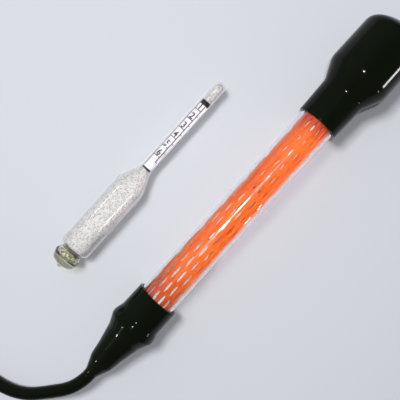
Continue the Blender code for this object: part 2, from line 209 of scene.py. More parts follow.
def finish(piece, body, slot, material, *nodes):
    piece.data.materials.clear()
    piece.data.materials.append(material)
    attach(piece, body)
    if nodes:
        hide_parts(*nodes)


# Camera over the tester, as in the photograph

camera = {
    "focalPixels": 650,
    "framePixels": 400,
    "station": 91.5 * mm,        # from the barrel's lower end
    "side": 22.9 * mm,
    "height": 442 * mm,
    "roll": math.radians(-47.87),
}
bpy.ops.object.camera_add(
    location=(
        testerPlace.translation.x + camera["station"],
        testerPlace.translation.y + camera["side"],
        camera["height"],
    ),
    rotation=(0, 0, camera["roll"]),
)
bpy.context.scene.camera = bpy.context.object
bpy.context.object.data.angle = 2 * math.atan(camera["framePixels"] / 2 / camera["focalPixels"])
bpy.context.object.data.clip_start = 10 * mm
print("camera set")


# Materials

def newMaterial(name):
    material = bpy.data.materials.new(name)
    material.use_nodes = True
    return material, material.node_tree, material.node_tree.nodes["Principled BSDF"]


def setSockets(shader, values):
    for key, value in values.items():
        shader.inputs[key].default_value = value


def newGroup(name, inputs, outputs):
    group = bpy.data.node_groups.new(name, "ShaderNodeTree")
    for label, kind, value in inputs:
        socket = group.interface.new_socket(label, in_out="INPUT", socket_type=kind)
        socket.default_value = value
    for label, kind in outputs:
        group.interface.new_socket(label, in_out="OUTPUT", socket_type=kind)
    return group, group.nodes.new("NodeGroupInput"), group.nodes.new("NodeGroupOutput")


def mixColors(tree, factor, low, high):
    mix = tree.nodes.new("ShaderNodeMix")
    mix.data_type = "RGBA"
    for socket, source in zip((mix.inputs[0], mix.inputs[6], mix.inputs[7]), (factor, low, high)):
        tree.links.new(source, socket)
    return mix.outputs[2]


def makeHandledGroup():
    # cloudy tint, roughness that comes and goes, and a fine skin
    group, given, out = newGroup(
        "handledSurface",
        [
            ("Color", "NodeSocketColor", (0.5, 0.5, 0.5, 1)),
            ("Bloom", "NodeSocketColor", (0.5, 0.5, 0.5, 1)),
            ("Bloom Amount", "NodeSocketFloat", 0.2),
            ("Cloud Scale", "NodeSocketFloat", 60),
            ("Skin Scale", "NodeSocketFloat", 900),
            ("Skin Depth", "NodeSocketFloat", 0.1),
            ("Roughness Low", "NodeSocketFloat", 0.2),
            ("Roughness High", "NodeSocketFloat", 0.4),
        ],
        [
            ("Color", "NodeSocketColor"),
            ("Roughness", "NodeSocketFloat"),
            ("Normal", "NodeSocketVector"),
        ],
    )
    nodes, links = group.nodes, group.links
    coords = nodes.new("ShaderNodeTexCoord")
    cloud = nodes.new("ShaderNodeTexNoise")
    cloud.inputs["Detail"].default_value = 4
    skin = nodes.new("ShaderNodeTexNoise")
    skin.inputs["Detail"].default_value = 2
    for texture, scale in ((cloud, "Cloud Scale"), (skin, "Skin Scale")):
        links.new(coords.outputs["Object"], texture.inputs["Vector"])
        links.new(given.outputs[scale], texture.inputs["Scale"])
    amount = nodes.new("ShaderNodeMath")
    amount.operation = "MULTIPLY"
    links.new(cloud.outputs["Fac"], amount.inputs[0])
    links.new(given.outputs["Bloom Amount"], amount.inputs[1])
    tint = mixColors(group, amount.outputs[0], given.outputs["Color"], given.outputs["Bloom"])
    links.new(tint, out.inputs["Color"])
    rough = nodes.new("ShaderNodeMapRange")
    rough.inputs["From Min"].default_value = 0.3
    rough.inputs["From Max"].default_value = 0.7
    links.new(cloud.outputs["Fac"], rough.inputs["Value"])
    links.new(given.outputs["Roughness Low"], rough.inputs["To Min"])
    links.new(given.outputs["Roughness High"], rough.inputs["To Max"])
    links.new(rough.outputs["Result"], out.inputs["Roughness"])
    bump = nodes.new("ShaderNodeBump")
    bump.inputs["Distance"].default_value = 0.1 * mm
    links.new(skin.outputs["Fac"], bump.inputs["Height"])
    links.new(given.outputs["Skin Depth"], bump.inputs["Strength"])
    links.new(bump.outputs["Normal"], out.inputs["Normal"])
    return group


def makeGrainGroup():
    # packed grains, each with a shade of its own and a dark seam round it
    group, given, out = newGroup(
        "packedGrains",
        [
            ("Light", "NodeSocketColor", (0.8, 0.8, 0.78, 1)),
            ("Dark", "NodeSocketColor", (0.4, 0.39, 0.36, 1)),
            ("Seam", "NodeSocketColor", (0.2, 0.19, 0.17, 1)),
            ("Scale", "NodeSocketFloat", 1500),
            ("Depth", "NodeSocketFloat", 0.6),
        ],
        [("Color", "NodeSocketColor"), ("Normal", "NodeSocketVector")],
    )
    nodes, links = group.nodes, group.links
    coords = nodes.new("ShaderNodeTexCoord")
    cells = nodes.new("ShaderNodeTexVoronoi")
    edges = nodes.new("ShaderNodeTexVoronoi")
    edges.feature = "DISTANCE_TO_EDGE"
    for texture in (cells, edges):
        links.new(coords.outputs["Object"], texture.inputs["Vector"])
        links.new(given.outputs["Scale"], texture.inputs["Scale"])
    shade = nodes.new("ShaderNodeSeparateColor")
    links.new(cells.outputs["Color"], shade.inputs["Color"])
    speck = nodes.new("ShaderNodeMapRange")
    speck.inputs["From Min"].default_value = 0.5
    links.new(shade.outputs["Red"], speck.inputs["Value"])
    grain = mixColors(group, speck.outputs["Result"], given.outputs["Light"], given.outputs["Dark"])
    seam = nodes.new("ShaderNodeMapRange")
    seam.inputs["From Max"].default_value = 0.12
    links.new(edges.outputs["Distance"], seam.inputs["Value"])
    links.new(
        mixColors(group, seam.outputs["Result"], given.outputs["Seam"], grain),
        out.inputs["Color"],
    )
    bump = nodes.new("ShaderNodeBump")
    bump.inputs["Distance"].default_value = 0.3 * mm
    links.new(edges.outputs["Distance"], bump.inputs["Height"])
    links.new(given.outputs["Depth"], bump.inputs["Strength"])
    links.new(bump.outputs["Normal"], out.inputs["Normal"])
    return group


handledGroup = makeHandledGroup()
grainGroup = makeGrainGroup()


def surfaceMaterial(name, surface, look, shine):
    # look fills the group's inputs, and shine the shader's own sockets
    material, tree, shader = newMaterial(name)
    group = tree.nodes.new("ShaderNodeGroup")
    group.node_tree = surface
    setSockets(group, look)
    for output in group.outputs:
        socket = "Base Color" if output.name == "Color" else output.name
        tree.links.new(output, shader.inputs[socket])
    setSockets(shader, shine)
    return material


def glassMaterial(name, color, passing, ior):
    # lamps shine straight through the glass, and the camera sees it bend what is behind
    material, tree, shader = newMaterial(name)
    setSockets(
        shader,
        {
            "Base Color": color,
            "Roughness": 0.0,
            "IOR": ior,
            "Transmission Weight": 1.0,
            "Coat Weight": 0.5,
            "Coat Roughness": 0.066,
        },
    )
    clear = tree.nodes.new("ShaderNodeBsdfTransparent")
    clear.inputs["Color"].default_value = (*[passing * share for share in color[:3]], 1)
    path = tree.nodes.new("ShaderNodeLightPath")
    mix = tree.nodes.new("ShaderNodeMixShader")
    tree.links.new(path.outputs["Is Shadow Ray"], mix.inputs["Fac"])
    tree.links.new(shader.outputs["BSDF"], mix.inputs[1])
    tree.links.new(clear.outputs["BSDF"], mix.inputs[2])
    tree.links.new(mix.outputs["Shader"], tree.nodes["Material Output"].inputs["Surface"])
    return material


rubberLook = {
    "Color": (0.0015, 0.003, 0.0008, 1),
    "Bloom": (0.006, 0.008, 0.004, 1),
    "Bloom Amount": 0.5,
    "Cloud Scale": 45,
    "Skin Scale": 700,
    "Skin Depth": 0.05,
    "Roughness Low": 0.07,
    "Roughness High": 0.14,
}
rubberShine = {"Specular IOR Level": 0.12}
bulbRubber = surfaceMaterial("bulbRubber", handledGroup, rubberLook, rubberShine)
bootRubber = surfaceMaterial("bootRubber", handledGroup, {**rubberLook, "Cloud Scale": 60}, rubberShine)
hoseRubber = surfaceMaterial(
    "hoseRubber",
    handledGroup,
    {**rubberLook, "Roughness Low": 0.25, "Roughness High": 0.4, "Skin Depth": 0.12},
    rubberShine,
)
netPlastic = surfaceMaterial(
    "netPlastic",
    handledGroup,
    {
        "Color": (0.73, 0.125, 0.003, 1),
        "Bloom": (0.77, 0.18, 0.006, 1),
        "Bloom Amount": 0.6,
        "Cloud Scale": 160,
        "Skin Scale": 2500,
        "Skin Depth": 0.15,
        "Roughness Low": 0.4,
        "Roughness High": 0.55,
    },
    {
        "Specular IOR Level": 0.2,
        "Subsurface Weight": 0.15,
        "Subsurface Radius": (1.2 * mm, 0.5 * mm, 0.2 * mm),
        "Subsurface Scale": 1.0,
    },
)


def tintWhere(material, share, color):
    # the tint covers the color that the material has so far, as far as the share goes
    tree = material.node_tree
    base = tree.nodes["Principled BSDF"].inputs["Base Color"]
    tint = tree.nodes.new("ShaderNodeRGB")
    tint.outputs[0].default_value = color
    mixed = mixColors(tree, share.outputs["Result"], base.links[0].from_socket, tint.outputs[0])
    tree.links.new(mixed, base)


def addStreaks(material, color, stretch, scale):
    # a second tint in lines that run along the tester
    tree = material.node_tree
    coords = tree.nodes.new("ShaderNodeTexCoord")
    mapping = tree.nodes.new("ShaderNodeMapping")
    mapping.inputs["Scale"].default_value = stretch
    lines = tree.nodes.new("ShaderNodeTexNoise")
    setSockets(lines, {"Scale": scale, "Detail": 3})
    tree.links.new(coords.outputs["Object"], mapping.inputs["Vector"])
    tree.links.new(mapping.outputs["Vector"], lines.inputs["Vector"])
    share = tree.nodes.new("ShaderNodeMapRange")
    setSockets(share, {"From Min": 0.45, "From Max": 0.7, "To Max": 0.8})
    tree.links.new(lines.outputs["Fac"], share.inputs["Value"])
    tintWhere(material, share, color)


def paintedEndShade(material, color, rim, fade, most):
    # painted shade: a deeper, darker tint at the rim, where the rubber shades the net, which fades along
    # x until it ends at fade
    tree = material.node_tree
    coords = tree.nodes.new("ShaderNodeTexCoord")
    split = tree.nodes.new("ShaderNodeSeparateXYZ")
    tree.links.new(coords.outputs["Object"], split.inputs["Vector"])
    share = tree.nodes.new("ShaderNodeMapRange")
    setSockets(share, {"From Min": rim, "From Max": fade, "To Min": most, "To Max": 0.0})
    tree.links.new(split.outputs["X"], share.inputs["Value"])
    tintWhere(material, share, color)


addStreaks(netPlastic, color=(0.66, 0.07, 0.001, 1), stretch=(0.1, 1, 1), scale=420)
# painted shade: the net is darker at both ends, where the boot and the bulb's neck shade it
paintedEndShade(netPlastic, color=(0.34, 0.035, 0.001, 1), rim=-84 * mm, fade=-58 * mm, most=0.9)
paintedEndShade(netPlastic, color=(0.45, 0.03, 0.001, 1), rim=69 * mm, fade=55 * mm, most=0.85)
ballastMetal = surfaceMaterial(
    "ballastMetal",
    grainGroup,
    {
        "Light": (0.88, 0.86, 0.93, 1),
        "Dark": (0.16, 0.16, 0.14, 1),
        "Seam": (0.05, 0.05, 0.04, 1),
        "Scale": 420,
        "Depth": 1.0,
    },
    {"Metallic": 0.35, "Roughness": 0.3, "Coat Weight": 1.0, "Coat Roughness": 0.05},
)
sealingWax = surfaceMaterial(
    "sealingWax",
    handledGroup,
    {
        "Color": (0.14, 0.14, 0.1, 1),
        "Bloom": (0.34, 0.34, 0.27, 1),
        "Bloom Amount": 0.5,
        "Cloud Scale": 300,
        "Skin Scale": 1200,
        "Skin Depth": 0.4,
        "Roughness Low": 0.35,
        "Roughness High": 0.55,
    },
    {},
)
scalePaper = surfaceMaterial(
    "scalePaper",
    handledGroup,
    {
        "Color": (0.9, 0.89, 0.94, 1),
        "Bloom": (0.84, 0.82, 0.87, 1),
        "Bloom Amount": 0.8,
        "Cloud Scale": 300,
        "Skin Scale": 3000,
        "Skin Depth": 0.2,
        "Roughness Low": 0.6,
        "Roughness High": 0.75,
    },
    {},
)
blackPrint = surfaceMaterial(
    "blackPrint",
    handledGroup,
    {
        "Color": (0.006, 0.006, 0.005, 1),
        "Bloom": (0.012, 0.014, 0.009, 1),
        "Bloom Amount": 0.6,
        "Cloud Scale": 900,
        "Skin Scale": 3000,
        "Skin Depth": 0.1,
        "Roughness Low": 0.4,
        "Roughness High": 0.55,
    },
    {"Specular IOR Level": 0.1},
)
paleGranules = surfaceMaterial(
    "paleGranules",
    grainGroup,
    {
        "Light": (0.79, 0.785, 0.78, 1),
        "Dark": (0.32, 0.32, 0.29, 1),
        "Seam": (0.42, 0.42, 0.4, 1),
        "Scale": 1200,
        "Depth": 0.7,
    },
    {"Roughness": 0.35},
)
barrelGlass = glassMaterial("barrelGlass", (0.99, 0.975, 0.99, 1), passing=0.92, ior=1.47)
floatGlass = glassMaterial("floatGlass", (1.0, 0.99, 0.99, 1), passing=0.88, ior=1.47)
cupGlass = glassMaterial("cupGlass", (0.95, 0.95, 0.79, 1), passing=0.88, ior=1.5)
print("materials made")


# Suction hose, on the route that part.py gives it, in metres from the boot's outlet

hose = {
    "radius": 4.3 * mm,
    "wall": 1.6 * mm,
    "bore": 14 * mm,             # how far the open end is hollow
    "spacing": 2.5 * mm,
    "overlap": 3 * mm,           # inside the boot's outlet
    "rimWidth": 0.35 * mm,       # the rounding of the cut end
    "rimRise": 0.3 * mm,
    "sides": 40,
    "bootDepth": 44,             # mm under the barrel's end
    "route": [
        (0, 0),
        (-0.0059, 0.0009),
        (-0.0116, 0.0027),
        (-0.017, 0.0055),
        (-0.0226, 0.0096),
        (-0.029, 0.0145),
        (-0.0358, 0.0203),
        (-0.0418, 0.0283),
        (-0.046, 0.0384),
        (-0.048, 0.0512),
        (-0.0464, 0.0661),
        (-0.0397, 0.0816),
        (-0.025, 0.1056),
        (-0.0076, 0.1236),
        (0.0121, 0.146),
        (0.0301, 0.174),
    ],
    "heights": [1, 0.985, 0.944, 0.879, 0.784, 0.652, 0.493, 0.317, 0.149, 0.022, 0, 0, 0, 0, 0, 0],
}


def smoothRoute(points, spacing):
    ends = [2 * points[0] - points[1], *points, 2 * points[-1] - points[-2]]
    route = []
    for before, start, end, after in zip(ends, ends[1:], ends[2:], ends[3:]):
        count = max(1, round((end - start).length / spacing))
        for step in range(count):
            share = step / count
            rise = (end - before) * share
            bend = (2 * before - 5 * start + 4 * end - after) * share**2
            twist = (3 * start - before - 3 * end + after) * share**3
            route.append(start + (rise + bend + twist) / 2)
    return [*route, points[-1]]


def makeHose():
    outlet = (testerPlace @ Matrix.Translation((0, 0, -hose["bootDepth"] * mm))).translation
    drop = outlet.z - hose["radius"]
    places = [
        outlet + Vector((x, y, drop * (share - 1)))
        for (x, y), share in zip(hose["route"], hose["heights"])
    ]
    path = smoothRoute(places, hose["spacing"])
    path.insert(0, outlet + Vector(testerAxis).normalized() * hose["overlap"])
    bpy.ops.object.select_all(action="DESELECT")
    bpy.ops.curve.primitive_nurbs_path_add()
    line = bpy.context.object
    line.data.splines.clear()
    spline = line.data.splines.new("POLY")
    spline.points.add(len(path) - 1)
    for spot, place in zip(spline.points, path):
        spot.co = (*place, 1)
    line.data.dimensions = "3D"
    line.data.bevel_depth = hose["radius"]
    line.data.bevel_resolution = hose["sides"] // 2 - 2
    line.data.use_fill_caps = True
    bpy.ops.object.convert(target="MESH")
    piece = startPiece("hoseTube")
    bpy.ops.mesh.remove_doubles(threshold=0.01 * mm)
    bpy.ops.mesh.normals_make_consistent(inside=False)
    # the round cap at the open end gets an edge and a bore
    pick(piece, "FACE", lambda face: len(face.vertices) > 4 and (face.center - path[-1]).length < mm)
    bpy.ops.mesh.inset(thickness=hose["rimWidth"], depth=hose["rimRise"])
    bpy.ops.mesh.inset(thickness=hose["wall"] - 2 * hose["rimWidth"])
    bpy.ops.mesh.inset(thickness=hose["rimWidth"], depth=-hose["rimRise"])
    inward = (path[-2] - path[-1]).normalized() * hose["bore"]
    bpy.ops.mesh.extrude_region_move(TRANSFORM_OT_translate={"value": tuple(inward)})
    bpy.ops.object.mode_set(mode="OBJECT")
    bpy.ops.object.shade_smooth_by_angle(angle=smoothAngle)
    finish(piece, "barrel", "hose_rubber", hoseRubber, "suction_hose")


makeHose()


# Rubber bulb, boot and glass barrel, in mm from the barrel's lower end

barrel = {
    "length": 200, "radius": 12.7, "wall": 1.4, "edge": 0.5,
    "bead": 13.8, "beadHeight": 3.2, "beadShoulder": 1.8, "sides": 128,
}
bulb = {
    "wall": 1.6, "radius": 22, "endRadius": 21.7, "length": 83.5, "grip": 21,
    "neck": 14.6, "neckFlare": 0.8, "neckLength": 25, "shoulder": 13.5,
    "corner": 8.5, "crown": 29, "lip": 0.45, "lipLength": 2, "sides": 144,
    "shoulderFillet": 14, "neckFillet": 9,
    "domeSteps": 14, "cornerSteps": 12, "filletSteps": 10,
    "skin": (0.14, 14, 1.0),     # height and size of the unevenness, and its seed
}
boot = {
    "wall": 1.9, "depth": 43.3, "sleeve": 14.9, "sleeveLength": 25.4, "lip": 0.5,
    "lipLength": 2, "sides": 128, "filletSteps": 10,
    "form": [                    # radius, height and fillet, from the sleeve to the nose
        (15.05, 7.5, 4),
        (16.1, 4.3, 9),
        (16.75, 0.3, 4.5),
        (13.2, -7.6, 14),
        (10, -21, 30),
        (8.5, -30.4, 7),
    ],
    "outletHeight": -40.2, "outletFillet": 6, "hoseRoom": 0.03,
    "skin": (0.12, 12, 2.0),     # height and size of the unevenness, and its seed
}


def makeBarrel():
    bore = barrel["radius"] - barrel["wall"]
    lip = barrel["wall"] / 2
    outline = rounded(
        [
            (barrel["radius"], barrel["length"], barrel["edge"]),
            (barrel["radius"], barrel["beadHeight"] + barrel["beadShoulder"], barrel["beadShoulder"]),
            (barrel["bead"], barrel["beadHeight"], lip),
            (barrel["bead"], 0, lip),
            (bore + lip, 0, barrel["edge"]),
            (bore, barrel["beadHeight"], 0),
            (bore, barrel["length"], barrel["edge"]),
        ],
        closed=True,
    )
    piece = turn("glassBarrel", outline, testerPlace, barrel["sides"], closed=True)
    finish(piece, "barrel", "barrel_glass", barrelGlass, "barrel_tube")


def makeBulb():
    rim = barrel["length"] - bulb["grip"]
    crown = rim + bulb["length"] - bulb["crown"]
    reach = bulb["crown"] - bulb["corner"]
    side = bulb["endRadius"] - bulb["corner"]
    meeting = math.acos(side / reach)
    corner = (side, crown + reach * math.sin(meeting))
    shoulderFoot = rim + bulb["neckLength"]
    dome = arc((0, crown), bulb["crown"], math.pi / 2, meeting, bulb["domeSteps"])
    dome[0].x = 0
    outer = dome + arc(corner, bulb["corner"], meeting, 0, bulb["cornerSteps"])[1:] + rounded(
        [
            (bulb["endRadius"], corner[1], 0),
            (bulb["radius"], shoulderFoot + bulb["shoulder"], bulb["shoulderFillet"]),
            (bulb["neck"] + bulb["neckFlare"], shoulderFoot, bulb["neckFillet"]),
            (bulb["neck"], rim + bulb["lipLength"], 0),
            (bulb["neck"], rim, 0),
        ],
        steps=bulb["filletSteps"],
    )[1:]
    outline = shell(outer, bulb["wall"], bulb["lip"])
    foot = min(point.y for point in outline)
    outline = [Vector((point.x, point.y - foot)) for point in outline]
    piece = turn("squeezeBulb", outline, bulbPlace, bulb["sides"])
    ruffle(piece, *bulb["skin"])
    finish(piece, "bulb", "bulb_rubber", bulbRubber, "squeeze_bulb")


def makeBoot():
    outlet = hose["radius"] / mm + boot["hoseRoom"]
    outer = rounded(
        [
            (boot["sleeve"], boot["sleeveLength"], 0),
            (boot["sleeve"], boot["sleeveLength"] - boot["lipLength"], 0),
            *boot["form"],
            (outlet, boot["outletHeight"], boot["outletFillet"]),
            (outlet, -boot["depth"], 0),
        ],
        steps=boot["filletSteps"],
    )
    outline = shell(outer, boot["wall"], boot["lip"], openTop=True)
    piece = turn("rubberBoot", outline, testerPlace, boot["sides"], closed=True)
    ruffle(piece, *boot["skin"])
    finish(piece, "barrel", "boot_rubber", bootRubber, "tip_boot")


makeBarrel()
makeBulb()
makeBoot()
print("barrel, bulb and boot made")


# Net in the barrel, a diamond mesh of rounded strands

net = {
    "columns": 14, "rows": 18, "length": 190.5, "radius": 9.5, "wave": 0.7, "flare": 0.3,
    "footLength": 120, "twist": math.radians(14), "turn": math.radians(-3),
    "ridge": 0.2, "thickness": 0.6, "border": (1.15, 1.45), "stretch": 0.5,
    "uncut": 20 * mm * mm,       # a diamond that isn't open yet is larger than this
}


def netSpot(row, angle):
    # a point of the net at a row of crossings and an angle, in metres
    height = net["length"] * row / net["rows"]
    share = max(0.0, 1 - height / net["footLength"])
    share = share * share * (3 - 2 * share)
    radius = net["radius"] + net["flare"] * share + net["wave"] * math.cos(math.pi * row)
    angle += net["turn"] + net["twist"] * share
    return Vector((radius * math.cos(angle), radius * math.sin(angle), height)) * mm


def makeNet():
    bpy.ops.object.select_all(action="DESELECT")
    bpy.ops.mesh.primitive_grid_add(
        x_subdivisions=net["columns"], y_subdivisions=net["rows"] // 2, size=2
    )
    piece = bpy.context.object
    for vert in piece.data.vertices:        # the flat grid is rolled, half a column round
        column, row = (vert.co.x + 1) / 2 * net["columns"], (vert.co.y + 1) / 2 * net["rows"]
        angle = 2 * math.pi * (column + 0.5) / net["columns"]
        vert.co = (math.cos(angle), math.sin(angle), row)
    startPiece("netSleeve")
    bpy.ops.mesh.remove_doubles(threshold=0.001)
    bpy.ops.mesh.poke()
    bpy.ops.object.mode_set(mode="OBJECT")
    mesh = piece.data
    rowOf = {vert.index: round(vert.co.z) for vert in mesh.vertices}

    def isGridEdge(edge):
        rows = {rowOf[i] for i in edge.vertices}
        return all(row % 2 == 0 for row in rows) and rows not in ({0}, {net["rows"]})

    pick(piece, "EDGE", isGridEdge)         # without the grid's edges, diamonds are left
    bpy.ops.mesh.dissolve_edges(use_verts=False)
    pick(piece, "FACE", lambda face: len(face.vertices) == 3)
    bpy.ops.mesh.delete(type="FACE")
    bpy.ops.object.mode_set(mode="OBJECT")
    for vert in mesh.vertices:
        vert.co = netSpot(round(vert.co.z), math.atan2(vert.co.y, vert.co.x))
    mesh.update()
    bpy.ops.object.mode_set(mode="EDIT")
    bpy.ops.mesh.select_all(action="SELECT")
    bpy.ops.mesh.normals_make_consistent(inside=False)
    for row in range(1, net["rows"]):       # each row of diamonds is opened by its own width
        middle = net["length"] * row / net["rows"] * mm
        share = min(1, row * net["length"] / net["rows"] / net["footLength"])
        border = net["border"][0] + (net["border"][1] - net["border"][0]) * share
        pick(piece, "FACE", lambda face: abs(face.center.z - middle) < mm and face.area > net["uncut"])
        bpy.ops.mesh.inset(
            thickness=border * mm, depth=-net["ridge"] * mm, use_individual=True, use_even_offset=True
        )
        bpy.ops.object.mode_set(mode="OBJECT")
        for face in [face for face in mesh.polygons if face.select]:    # the gaps get longer
            ends = [mesh.vertices[i].co for i in face.vertices]
            heart = sum(end.z for end in ends) / len(ends)
            for end in ends:
                end.z += (end.z - heart) * net["stretch"]
        bpy.ops.object.mode_set(mode="EDIT")
        bpy.ops.mesh.delete(type="FACE")
    bpy.ops.object.mode_set(mode="OBJECT")
    applyModifier(piece, "SOLIDIFY", thickness=net["thickness"] * mm, offset=-1)
    applyModifier(piece, "SUBSURF", levels=2, render_levels=2)
    bpy.ops.object.shade_smooth()
    settle(piece, netPlace)
    piece.visible_shadow = False             # thin strands let the light into the sleeve
    finish(piece, "net", "net_plastic", netPlastic, "protective_net")
    print("net:", len(mesh.polygons), "faces")


makeNet()


# Floats: glass bulb and stem, ballast cup, granular lining and a paper scale, in mm on the working float

floatShape = {
    "wall": 0.5, "gap": 0.3, "length": 125, "sides": 96,
    "bulb": 8.25, "bulbFoot": 12.3, "bulbTop": 54,
    "stem": 3.15, "stemFoot": 66.5,
    "groove": 5.8, "grooveHeight": 9.9, "grooveLength": 0.9,
    "cup": 7.35, "cupWidest": 7, "cupNose": 5.9, "cupNoseHeight": 2.5,
    "nub": 1.2, "nubHeight": 0.5, "cupFloor": 5, "cupFloorRadius": 4.8,
    "seal": 10.5, "sealThickness": 1.1, "lining": 1, "grainRow": 0.6,
    "paper": 0.35, "tipGap": 12.7, "tipRim": 0.35, "ring": 0.9, "band": 2.3,
    "stemFillet": 14, "shoulderFillet": 8, "bulbFillet": 2.5, "grooveFillet": 0.4,
    "cupFillet": 2, "cupFloorFillet": 0.8, "noseFillet": 3.5,
    "nubFillet": 0.5, "nubFootShare": 0.8, "nubFootFillet": 0.3,
    "lip": 0.2, "tipSteps": 12, "paperGap": 0.05,
    "grainSize": 0.9, "grainRise": 0.12, "fillingRise": 0.1, "spareSize": 1.305,
}
floatNodes = {
    "Glass": "_glass", "Cup": "_ballast_cup", "Ballast": "_ballast", "Seal": "_seal",
    "Lining": "_lining", "Paper": "_scale", "Ring": "_scale_ring", "Band": "_scale_band",
    "Tip": "_tip_plug",
}
scalePrint = {
    "spacing": 6.2,              # between the numbered lines, mm on the working float
    "first": 3.4,                # under the dark band
    "numbers": ("1", "2", "3", "4", "5", "6"),
    "left": -0.92, "right": 0.5,    # where the two long lines stand, in radians round the tube
    "tick": 0.45, "halfTick": 1.2, "line": 0.45, "height": 0.03,
    "digitSize": 4.8, "digitWidth": 0.9, "digitWeight": 0.1, "inset": 0.75, "step": 0.2,
    "topRoom": 0.4, "footRoom": 0.6, "numberRise": 0.45,
}


def floatOutline(size):
    shape = floatShape
    stem = shape["stem"] * size
    grooveTop = shape["grooveHeight"] + shape["grooveLength"]
    tip = arc((0, shape["length"] * size - stem), stem, math.pi / 2, 0, shape["tipSteps"])
    tip[0].x = 0
    return tip + rounded(
        [
            (*tip[-1], 0),
            (stem, shape["stemFoot"] * size, shape["stemFillet"] * size),
            (shape["bulb"] * size, shape["bulbTop"] * size, shape["shoulderFillet"] * size),
            (shape["bulb"] * size, shape["bulbFoot"] * size, shape["bulbFillet"] * size),
            (shape["groove"] * size, grooveTop * size, shape["grooveFillet"] * size),
            (shape["groove"] * size, shape["grooveHeight"] * size + shape["gap"], 0),
        ]
    )[1:]


def cavityOutline(size):
    shape = floatShape
    bore = (shape["cup"] - shape["wall"]) * size
    bottom = shape["cupFloor"] * size
    return rounded(
        [
            ((shape["groove"] - shape["wall"]) * size, shape["grooveHeight"] * size, 0),
            (bore, shape["cupWidest"] * size, shape["cupFillet"] * size),
            (shape["cupFloorRadius"] * size, bottom, shape["cupFloorFillet"] * size),
            (0, bottom, 0),
        ]
    )


def cupOutline(size):
    shape = floatShape
    outside = rounded(
        [
            (shape["groove"] * size, shape["grooveHeight"] * size, 0),
            (shape["cup"] * size, shape["cupWidest"] * size, shape["cupFillet"] * size),
            (shape["cupNose"] * size, shape["cupNoseHeight"] * size, shape["noseFillet"] * size),
            (shape["nub"] * size, shape["nubHeight"] * size, shape["nubFillet"] * size),
            (shape["nub"] * size * shape["nubFootShare"], 0, shape["nubFootFillet"] * size),
            (0, 0, 0),
        ]
    )
    return [*reversed(cavityOutline(size)), *outside]


def resampled(outline, spacing):
    # more points along an outline, about this far apart
    points = [outline[0]]
    for here, there in zip(outline, outline[1:]):
        count = max(1, round((there - here).length / spacing))
        points += [here.lerp(there, (i + 1) / count) for i in range(count)]
    return points


def closedRing(outer, inner, top, foot):
    return [Vector(spot) for spot in ((inner, top), (outer, top), (outer, foot), (inner, foot))]


def addFlat(flats, left, right, foot, top):
    bpy.ops.object.select_all(action="DESELECT")
    bpy.ops.mesh.primitive_plane_add(size=1, location=((left + right) / 2, (foot + top) / 2, 0))
    bpy.context.object.scale = (right - left, top - foot, 1)
    flats.append(bpy.context.object)


def addNumber(flats, word, left, foot):
    bpy.ops.object.select_all(action="DESELECT")
    bpy.ops.object.text_add(location=(left, foot, 0))
    words = bpy.context.object
    words.data.body = word
    words.data.size = scalePrint["digitSize"]
    words.data.offset = scalePrint["digitWeight"]
    words.scale = (scalePrint["digitWidth"], 1, 1)
    bpy.ops.object.convert(target="MESH")
    flats.append(bpy.context.object)


def makePrint(name, size, radius, place, body):
    # lines and numbers are laid out flat in mm, then rolled onto the paper tube
    marks, shape = scalePrint, floatShape
    flats = []
    top = shape["length"] - shape["tipGap"] - shape["band"] - marks["topRoom"]
    foot = shape["stemFoot"] + shape["ring"] + marks["footRoom"]
    flat = radius / size         # the tube's radius, on the working float
    left, right = marks["left"] * flat, marks["right"] * flat
    # the right line ends half a spacing under the last number
    lastLine = top - marks["first"] - marks["spacing"] * (len(marks["numbers"]) - 0.5)
    line, tick = marks["line"] / 2, marks["tick"] / 2
    addFlat(flats, left - line, left + line, foot, top)
    addFlat(flats, right - line, right + line, lastLine, top)
    for i, number in enumerate(marks["numbers"]):
        height = top - marks["first"] - marks["spacing"] * i
        half = height - marks["spacing"] / 2
        addFlat(flats, left, right, height - tick, height + tick)
        addFlat(flats, right, right + marks["halfTick"], half - tick, half + tick)
        addNumber(flats, number, left + marks["inset"], height + marks["numberRise"])
    bpy.ops.object.select_all(action="DESELECT")
    for part in flats:
        part.select_set(True)
    bpy.context.view_layer.objects.active = flats[0]
    bpy.ops.object.transform_apply(location=True, rotation=True, scale=True)
    bpy.ops.object.join()
    piece = startPiece(name)
    cuts = int(2 * math.pi * flat / marks["step"])
    for i in range(-cuts // 4, cuts // 4):   # cut into strips, so that it rolls smoothly
        bpy.ops.mesh.select_all(action="SELECT")
        bpy.ops.mesh.bisect(plane_co=(i * marks["step"], 0, 0), plane_no=(1, 0, 0))
    bpy.ops.object.mode_set(mode="OBJECT")
    for vert in piece.data.vertices:
        angle = vert.co.x / flat
        out = radius + marks["height"]
        vert.co = Vector((-out * math.cos(angle), -out * math.sin(angle), vert.co.y * size)) * mm
    settle(piece, place)
    finish(piece, body, "black_print", blackPrint)


